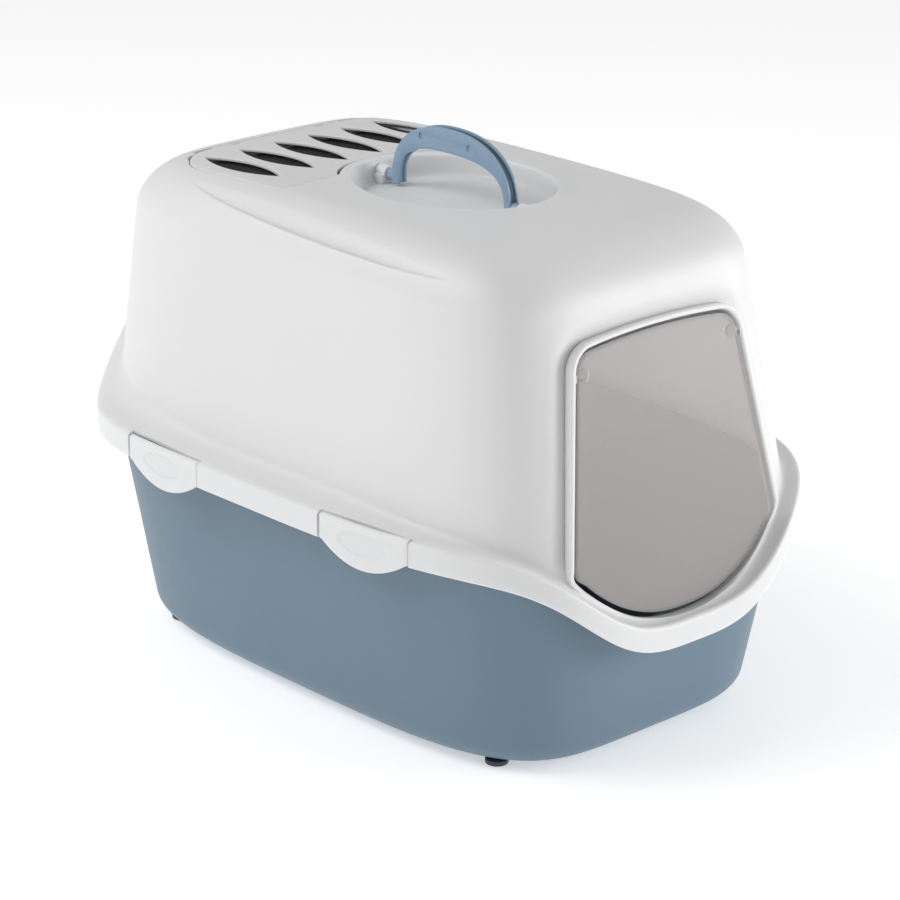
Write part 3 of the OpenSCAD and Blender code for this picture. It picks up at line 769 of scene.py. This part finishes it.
def door_lip():
    """Rounded bead round the door opening, as a closed ring that dies away toward the sill."""
    r = LIP_W / 2
    profile = [(0.0, 3.4), (0.0, 0.0), (0.0, -LIP_OUT + r)]
    bead = np.radians(np.linspace(15, 165, 11))
    profile += [(r - r * math.cos(p), -LIP_OUT + r - r * math.sin(p)) for p in bead]
    profile += [(LIP_W, -LIP_OUT + r), (LIP_W, 0.0), (LIP_W, 3.4)]
    rings = []
    for out, y in profile:
        outline = door_outline(out, 0.1 * out)
        keep = ease((outline[:, 1] + 4) / 16) if y < 0 else 1
        rings.append(in_door(outline, y * keep))
    return tube("door_lip", rings)


VENT_HALF_W, VENT_FRONT, VENT_REAR, COVER_T = 113.0, 63.0, 203.0, 2.2
NOTCH_R, NOTCH_Y, NOTCH_HALF_W = 72.5, 14.5, 54.0
WELL_HALF_W, WELL_FRONT, WELL_REAR, WELL_R = 102.2, 91.3, 198.2, 10.2
HINGE_ROOM_HALF_W = 86.0
HINGE_R, HINGE_HALF_L = 3.1, 66.0
KNUCKLE_X, KNUCKLE_W = 44.0, 8.0
HINGE_Z = float(roof_z(np.array(0.0), np.array(VENT_REAR))) - HINGE_R
SLOT_COUNT, SLOT_PITCH, SLOT_HALF_L, SLOT_HALF_W, SLOT_Y = 6, 35.5, 47.5, 12.5, 138.5
LEDGE_DROP = 7.5
FINGER_TURN = 31
PAD_HALF_W, PAD_FRONT, PAD_REAR = 98.4, -108.3, -24.8
PAD_BOTTOM, PAD_TOP, PAD_TILT = -11.1, -1.7, -1.37
CRUMB_H, PAD_EDGE_DROP = 0.9, 1.2


def vent_outline(out=0.0):
    """The vent cover's outline, with the arc round the dish, moved outward by out."""
    a = math.asin(NOTCH_HALF_W / NOTCH_R)
    r = NOTCH_R - out
    arc = [(r * math.sin(a * k), NOTCH_Y + r * math.cos(a * k), 0) for k in np.linspace(-1, 1, 41)]
    w, f, b = VENT_HALF_W + out, VENT_FRONT - out, VENT_REAR + out
    return rounded([(w, f, 12 + out), (w, b, 44 + out), (-w, b, 44 + out), (-w, f, 12 + out)] + arc, 20)


def on_roof(outline, depth):
    x, y = np.asarray(outline).T
    return np.column_stack([x, y, roof_z(x, y) - depth])


LATCH_HALF, LATCH_DROP = 43.5, 14.5
LATCHES = {"front": -123.5, "rear": 108.5}
BARREL_R = 3.0
AXLE_Z = FLANGE_Z - BARREL_R - 0.2
THUMB_HALF_L, THUMB_HALF_H, THUMB_RISE, THUMB_DEPTH = 24.0, 9.0, 6.0, 0.75
CLIP_T = 2.8
HOOK_TRIM, HOOK_LOW, HOOK_HIGH = 15.0, 7.0, 10.5


def latch_frame(side, y):
    reach = (skirt_x(y - LATCH_HALF) + skirt_x(y + LATCH_HALF)) / 2
    turn = math.atan2(skirt_x(y - LATCH_HALF) - skirt_x(y + LATCH_HALF), 2 * LATCH_HALF)
    place_right = Matrix.Translation((reach - BARREL_R - 0.2, y, AXLE_Z)) @ Matrix.Rotation(turn, 4, "Z")
    return Matrix.Diagonal((side, 1, 1, 1)) @ place_right


def latch_notch(side, y):
    low = (-BARREL_R - 0.5, -LATCH_HALF - 0.5, -60)
    return block("notch", low, (27, LATCH_HALF + 2.6, 20), latch_frame(side, y))


def hood():
    """White shell with the door's lip and opening, the vent's recess and the clips' notches."""
    inside, outside = hood_inside(), hood_outside()
    shell = skin(
        "hood", inside + outside, (0, DISH_Y, ROOF - DISH_DEPTH - WALL), (0, DISH_Y, ROOF - DISH_DEPTH), 32
    )
    ledge = prism("ledge", [on_roof(vent_outline(4), LEDGE_DROP + 3), on_roof(vent_outline(4), 1.8)])
    combine(shell, [door_lip(), ledge], "UNION")
    recess = prism(
        "recess",
        [
            on_roof(vent_outline(0.7), LEDGE_DROP),
            on_roof(vent_outline(0.7), 0.9),
            on_roof(vent_outline(1.1), 0.25),
            on_roof(vent_outline(2.4), -1.2),
            on_roof(vent_outline(2.4), -12),
        ],
    )
    half, near, far = HINGE_ROOM_HALF_W, VENT_REAR - 10, VENT_REAR + HINGE_R + 0.5
    rear = [(-half, near), (half, near), (half, far), (-half, far)]
    hinge_room = prism("hinge_room", [on_roof(rear, LEDGE_DROP), on_roof(rear, -2)])
    w, f, b, r = WELL_HALF_W, WELL_FRONT, WELL_REAR, WELL_R
    well = rounded([(w, f, r), (w, b, r), (-w, b, r), (-w, f, r)], 8)
    low, high = ROOF - 40, ROOF + 20
    through = prism("through", [flat(well, low), flat(well, high)])
    reach = HINGE_HALF_L + 0.8
    behind = block("behind", (-reach, 150, low), (reach, VENT_REAR + 3.7, high))
    doorway = prism("doorway", [in_door(door_outline(), y) for y in (-24, 24)])
    start = FLAP_Y - 0.8
    slope = [in_door(door_outline(slope=d), start - d) for d in (SILL_SLOPE, 0)]
    cutters = [doorway, prism("sill_slope", slope), recess, hinge_room, through, behind]
    cutters += [latch_notch(side, y) for side in (1, -1) for y in LATCHES.values()]
    combine(shell, cutters, "DIFFERENCE")
    smooth(shell, 32)
    return shell


# ---- vent cover, basket and filter ----


def slab(name, gx, gy, bottom, top, sharp=35.0):
    """Closed slab over a grid, between two heights given at every grid point."""
    ny, nx = gx.shape
    count = nx * ny
    upper = np.stack([gx.ravel(), gy.ravel(), top.ravel()], 1)
    lower = np.stack([gx.ravel(), gy.ravel(), bottom.ravel()], 1)
    faces = []
    for j in range(ny - 1):
        for i in range(nx - 1):
            a = j * nx + i
            faces.append((a, a + 1, a + nx + 1, a + nx))
            faces.append((count + a, count + a + nx, count + a + nx + 1, count + a + 1))
    border = list(range(nx - 1)) + [j * nx + nx - 1 for j in range(ny - 1)]
    border += [(ny - 1) * nx + i for i in range(nx - 1, 0, -1)] + [j * nx for j in range(ny - 1, 0, -1)]
    for a, b in zip(border, border[1:] + border[:1]):
        faces.append((b, a, a + count, b + count))
    return make(name, np.concatenate([upper, lower]), faces, sharp)


def flared(name, outline_at):
    """Cutter through the vent cover with a chamfer at the top."""
    reach = 0.5
    return prism(
        name,
        [
            on_roof(outline_at(0), 12),
            on_roof(outline_at(0), reach),
            on_roof(outline_at(reach * 0.75), 0.1),
            on_roof(outline_at(reach * 0.75 + 1.3), -1.2),
        ],
    )


def slot_outline(i, out):
    middle = [SLOT_PITCH * (i - (SLOT_COUNT - 1) / 2), SLOT_Y]
    return lens(SLOT_HALF_L + 1.6 * out, SLOT_HALF_W + out) + middle


def finger_gap(middle):
    """Crescent along the cover's front arc, its middle turned from straight ahead."""
    half = math.radians(20)
    u = np.linspace(-1, 1, 25)

    def arc(r, k):
        a = middle + half * k
        return np.stack([r * np.sin(a), NOTCH_Y + r * np.cos(a)], 1)

    return np.concatenate([arc(NOTCH_R + 2.4 * (1 - u * u), u), arc(NOTCH_R - 3, u[::-1])])


def vent_cover():
    """Cover that follows the roof, with its slots, finger gaps and hinge barrel."""
    xs = np.linspace(-VENT_HALF_W - 5, VENT_HALF_W + 5, int(60 * DETAIL))
    ys = np.linspace(VENT_FRONT - 11, VENT_REAR + 9, int(42 * DETAIL))
    gx, gy = np.meshgrid(xs, ys)
    roof = roof_z(gx, gy)
    cover = slab("vent_cover_top", gx, gy, roof - COVER_T, roof)
    chamfer = ((0, 20), (0, 0.6), (0.45, 0.12), (1.8, -1.2), (1.8, -12))
    trim = [on_roof(vent_outline(-inset), depth) for inset, depth in chamfer]
    combine(cover, [prism("trim", trim)], "INTERSECT")
    cutters = [flared("slot", lambda out, i=i: slot_outline(i, out)) for i in range(SLOT_COUNT)]
    for side in (-1, 1):
        gap = finger_gap(math.radians(FINGER_TURN * side))
        cutters.append(prism("finger_gap", [on_roof(gap, 12), on_roof(gap, -3)]))
    barrel = rod("barrel", (-HINGE_HALF_L, VENT_REAR, HINGE_Z), (HINGE_HALF_L, VENT_REAR, HINGE_Z), HINGE_R)
    combine(cover, [barrel], "UNION")
    for side in (-1, 1):
        low = (side * KNUCKLE_X - KNUCKLE_W / 2 - 0.4, VENT_REAR - 3.7, HINGE_Z - 10)
        cutters.append(block("knuckle_room", low, (low[0] + KNUCKLE_W + 0.8, VENT_REAR + 8.3, HINGE_Z + 10)))
    cutters.append(rod("bore", (-100, VENT_REAR, HINGE_Z), (100, VENT_REAR, HINGE_Z), 1.57))
    combine(cover, cutters, "DIFFERENCE")
    smooth(cover, 30)
    return cover


def charcoal():
    """Foam pad with a rough upper face."""
    tilt = Matrix.Translation((0, VENT_REAR, HINGE_Z)) @ Matrix.Rotation(math.radians(PAD_TILT), 4, "X")
    half, front, rear = PAD_HALF_W, PAD_FRONT, PAD_REAR
    xs = np.linspace(-half, half, int(150 * DETAIL))
    ys = np.linspace(front, rear, int(64 * DETAIL))
    gx, gy = np.meshgrid(xs, ys)
    edge = np.minimum(1, np.minimum.reduce([half - np.abs(gx), gy - front, rear - gy]) / 2)
    crumb = np.random.default_rng(7).random(gx.shape)
    top = PAD_TOP - CRUMB_H * crumb * edge - PAD_EDGE_DROP * (1 - edge)
    pad = slab("charcoal_pad", gx, gy, 0 * gx + PAD_BOTTOM, top, 60)
    pad.data.transform(Matrix.Translation(tilt.translation * MM) @ tilt.to_3x3().to_4x4())
    return pad


# ---- handle ----


def arch(a, h, e, n=72):
    """Upper half of a squared oval with power e, from the rear end to the front end."""
    t = np.pi * np.arange(n + 1) / n
    return np.stack([a * signed_pow(np.cos(t), 2 / e), h * signed_pow(np.sin(t), 2 / e)], 1)


def upright(name, outline, x1, x2):
    """Plate across x from an outline in the handle's own y-z plane."""
    y, z = np.asarray(outline).T
    layer = np.column_stack([0 * y, y + DISH_Y, z + PIVOT_Z])
    return prism(name, [layer + [x1, 0, 0], layer + [x2, 0, 0]])


HANDLE_W, HANDLE_HALF_L, HANDLE_RISE = 9.6, 67.0, 50.0
GRIP_T, LEG_T, LEG_END = 19.0, 6.5, 5.0
ARCH_POWER = 2.3
CHANNEL_HALF = 2.9
DIMPLE_Y, DIMPLE_SHIFT = 27.3, 5.5


def handle():
    """Arch with a channel along its outer edge and in each leg, dimples and pivot lugs."""
    half = HANDLE_W / 2
    grip = HANDLE_RISE - GRIP_T
    inner_l = HANDLE_HALF_L - LEG_T
    outer = arch(HANDLE_HALF_L, HANDLE_RISE, ARCH_POWER)
    inner = arch(inner_l, grip, 2.7)
    rear_end = [[-HANDLE_HALF_L, -LEG_END], [-inner_l, -LEG_END]]
    front_end = [[inner_l, -LEG_END], [HANDLE_HALF_L, -LEG_END]]
    body = upright("handle", np.concatenate([outer, rear_end, inner[::-1], front_end]), -half, half)
    rim = arch(HANDLE_HALF_L - 3, HANDLE_RISE - 3.4, ARCH_POWER)
    over = [[-100, 0], [-100, 70], [100, 70], [100, 0]]
    cutters = [upright("channel", np.concatenate([rim, over]), -CHANNEL_HALF, CHANNEL_HALF)]
    leg = arch(HANDLE_HALF_L - 4.6, grip + 5, 2.5)
    for side in (-1, 1):
        part = leg[(leg[:, 1] < grip - 5) & (side * leg[:, 0] > 0)][::side]
        back = side * (HANDLE_HALF_L - 17)
        foot = [part[0][0], -LEG_END - 1]
        outline = np.concatenate([[foot], part, [[back, part[-1][1]], [back, -LEG_END - 1]]])
        cutters.append(upright("leg_channel", outline, -CHANNEL_HALF, CHANNEL_HALF))
        for y in (-DIMPLE_Y, DIMPLE_Y):
            x = side * half
            centre = (DISH_Y + y - side * DIMPLE_SHIFT, PIVOT_Z + HANDLE_RISE - 11)
            cutters.append(rod("dimple", (x - 0.9, *centre), (x + 0.9, *centre), 2.8, 40))
    combine(body, cutters, "DIFFERENCE")
    lugs = []
    for side in (-1, 1):
        ends = [(0, DISH_Y + side * (HANDLE_HALF_L + reach), PIVOT_Z) for reach in (-2.9, 6.8)]
        lugs.append(rod("lug", *ends, half, 64))
    combine(body, lugs, "UNION")
    bevel(body, 0.5, 2, 42)
    return body


def channel_shade_strip():
    """Dark strip on the floor of the channel along the outer edge: painted shade standing in for the deep
    channel's shadow.
    """
    half = CHANNEL_HALF - 0.1
    top = arch(HANDLE_HALF_L - 1.2, HANDLE_RISE - 1.3, ARCH_POWER)
    under = arch(HANDLE_HALF_L - 3.4, HANDLE_RISE - 3.8, ARCH_POWER)
    return upright("channel_shade_strip", np.concatenate([top[1:-1], under[::-1][1:-1]]), -half, half)


# ---- latches ----


def latch(side, name, y0):
    """Clip plate: barrel along its top, face flush with the skirt, lens-shaped lip, oval thumb dimple."""
    matrix = latch_frame(1, y0)
    columns = int(72 * DETAIL)
    rows = 30
    s = np.linspace(-1, 1, columns)
    length = s * LATCH_HALF
    lip = (LATCH_HALF - 1.5) / LATCH_HALF
    drop = LATCH_DROP * np.clip(1 - (s / lip) ** 2, 0, 1)
    inverse = matrix.inverted()
    sections = []
    for along, low in zip(length, SKIRT_Z - drop):
        at = moved([[0, along, 0]], matrix)[0]
        face = moved([[float(skirt_x(np.array(at[1]))), at[1], AXLE_Z]], inverse)[0][0]
        bottom = low - AXLE_Z
        hem_z = bottom + HEM_R * np.array([0.0, 0.08, 0.3, 0.6])
        face_z = np.concatenate([hem_z, np.linspace(bottom + HEM_R, 0.0, rows)])
        over_thumb = face_z + AXLE_Z - SKIRT_Z - THUMB_RISE
        thumb = ((at[1] - y0) / THUMB_HALF_L) ** 2 + (over_thumb / THUMB_HALF_H) ** 2
        press = THUMB_DEPTH * ease((1.04 - np.sqrt(thumb)) / 0.10)
        hem = HEM_R * (1 - np.sqrt(1 - np.clip(1 - (face_z - bottom) / HEM_R, 0, 1) ** 2))
        outline = list(zip(face - press - hem, face_z))
        arc = np.radians(np.linspace(8, 262, 26))
        centre = face - BARREL_R
        outline += [(centre + BARREL_R * math.cos(a), BARREL_R * math.sin(a)) for a in arc]
        back = face - CLIP_T
        outline += [(back, z) for z in np.linspace(-3.4, bottom + 0.5, 8)] + [(back + 0.5, bottom)]
        sections.append([(x, along, z) for x, z in outline])
    layers = [moved(section, matrix) for section in sections]
    return prism(name, [layer * [side, 1, 1] for layer in layers], 38)


def hook(side, y0):
    """Inner hook of a clip that reaches under the tray's rim."""
    ys = np.linspace(y0 - LATCH_HALF + HOOK_TRIM, y0 + LATCH_HALF - HOOK_TRIM, 24)
    outline = [(float(skirt_x(y)) - 2, y) for y in ys]
    outline += [(float(skirt_x(y)) - RIM_INSET + 0.4, y) for y in ys[::-1]]
    outline = np.array(outline) * [side, 1]
    return prism("hook", [flat(outline, SKIRT_Z + HOOK_LOW), flat(outline, SKIRT_Z + HOOK_HIGH)])


# ---- flap ----


def flap():
    """Sheet with a rounded edge, and a boss and stub pin near each top corner."""
    plate = prism("flap", [flap_layer(0, FLAP_Y), flap_layer(0, FLAP_Y + FLAP_T)])
    mid_y = FLAP_Y + FLAP_T / 2
    out = FLAP_T / 2 + 0.6
    turns = np.radians(np.arange(0, 360, 30))
    bead = [flap_layer(1.2 - 1.2 * math.cos(a), mid_y + out * math.sin(a)) for a in turns]
    pivots = []
    for side in (-1, 1):
        x = side * BOSS_X
        front, back = moved([[x, mid_y + y, FLAP_AXIS_Z] for y in (-BOSS_HALF_T, BOSS_HALF_T)], DOOR)
        pivots.append(rod("boss", front, back, BOSS_R, 48))
        start, end = moved([[x, mid_y, FLAP_AXIS_Z], [side * PIN_END_X, mid_y, FLAP_AXIS_Z]], DOOR)
        pivots.append(rod("pin", start, end, FLAP_PIN_R, 32))
    combine(plate, [tube("bead", bead)] + pivots, "UNION")
    smooth(plate, 40)
    return plate


# ---- assembly ----

place(tray(), BLUE, "tray", "tray_plastic", "base_tray")
place(hood(), WHITE, "hood", "hood_plastic", "hood_shell")
place(vent_cover(), WHITE, "vent", "hood_plastic", "vent_cover")
place(charcoal(), FOAM, "hood", "charcoal", "charcoal_filter")
place(handle(), POWDER, "handle", "handle_plastic", "carry_handle")
# dark strip that paints the shade inside the handle's outer channel
place(channel_shade_strip(), CHANNEL_SHADE, "handle", None)
place(flap(), SMOKE, "flap", "flap_plastic", "door_flap")
for end, y0 in LATCHES.items():
    for side, word in ((-1, "left"), (1, "right")):
        clip = combine(latch(side, f"clip_{end}_{word}", y0), [hook(side, y0)], "UNION")
        smooth(clip, 38)
        place(clip, WHITE, f"clip_{end}_{word}", "hood_plastic", f"latch_{end}_{word}")
        refinish(STEEL, f"latch_axle_{end}_{word}")
for corner in ("front_left", "front_right", "rear_left", "rear_right"):
    refinish(NAVY, f"foot_{corner}")
refinish(STEEL, "vent_hinge_pin")
refinish(LILAC, "filter_basket")
refinish(WHITE, "handle_bearing_front", "handle_bearing_rear", "flap_socket_left", "flap_socket_right")

# ---- stage, light and camera ----


floor_mat, floor_tree, floor_shader = node_material("floor_pale", (0.9, 0.9, 0.9), 0.6)
floor_tree.links.new(
    ramp(floor_tree, noise(floor_tree, 0.8, 2.0), (0.89, 0.89, 0.89), (0.91, 0.91, 0.91)),
    floor_shader.inputs["Base Color"],
)
floor_shader.inputs["Emission Color"].default_value = (1, 1, 1, 1)
floor_shader.inputs["Emission Strength"].default_value = 0.42
FLOOR_HALF = 6000.0
floor_corners = [(FLOOR_HALF * x, FLOOR_HALF * y, 0) for x, y in ((-1, -1), (1, -1), (1, 1), (-1, 1))]
floor = make("floor", floor_corners, [(0, 1, 2, 3)])
floor.data.materials.append(floor_mat)

world = bpy.data.worlds.new("studio")
world.use_nodes = True
world.node_tree.nodes["Background"].inputs["Color"].default_value = (1, 1, 1, 1)
world.node_tree.nodes["Background"].inputs["Strength"].default_value = 0.46
bpy.context.scene.world = world


def outward(azimuth, elevation):
    """Direction from the part by azimuth from the door's side and elevation, both in degrees."""
    turn, lift = math.radians(azimuth), math.radians(elevation)
    return Vector((math.sin(turn) * math.cos(lift), -math.cos(turn) * math.cos(lift), math.sin(lift)))


def softbox(name, azimuth, elevation, distance, size, power):
    """Square light that points at the middle of the part."""
    data = bpy.data.lights.new(name, "AREA")
    data.shape = "RECTANGLE"
    data.size = size
    data.size_y = size
    data.energy = power
    lamp = bpy.data.objects.new(name, data)
    middle = Vector((0, 0, 0.2))
    lamp.location = middle + outward(azimuth, elevation) * distance
    lamp.rotation_euler = (middle - lamp.location).to_track_quat("-Z", "Y").to_euler()
    bpy.context.scene.collection.objects.link(lamp)


softbox("side_softbox", -124, 44, 2.6, 1.6, 31)
softbox("front_softbox", 46, 4, 2.6, 1.6, 46)

target = Vector((0, 0, 0.190))
back = outward(-42.45, 19.41)
camera_distance = 2.55321
camera_data = bpy.data.cameras.new("camera")
camera_data.lens = 128.12
camera_data.sensor_width = 36
camera_data.shift_x = 0.00686
camera_data.shift_y = -0.0239
camera = bpy.data.objects.new("camera", camera_data)
camera.location = target + back * camera_distance
camera.rotation_euler = (-back).to_track_quat("-Z", "Y").to_euler()
bpy.context.scene.collection.objects.link(camera)
bpy.context.scene.camera = camera
bpy.context.scene.view_settings.view_transform = "Standard"
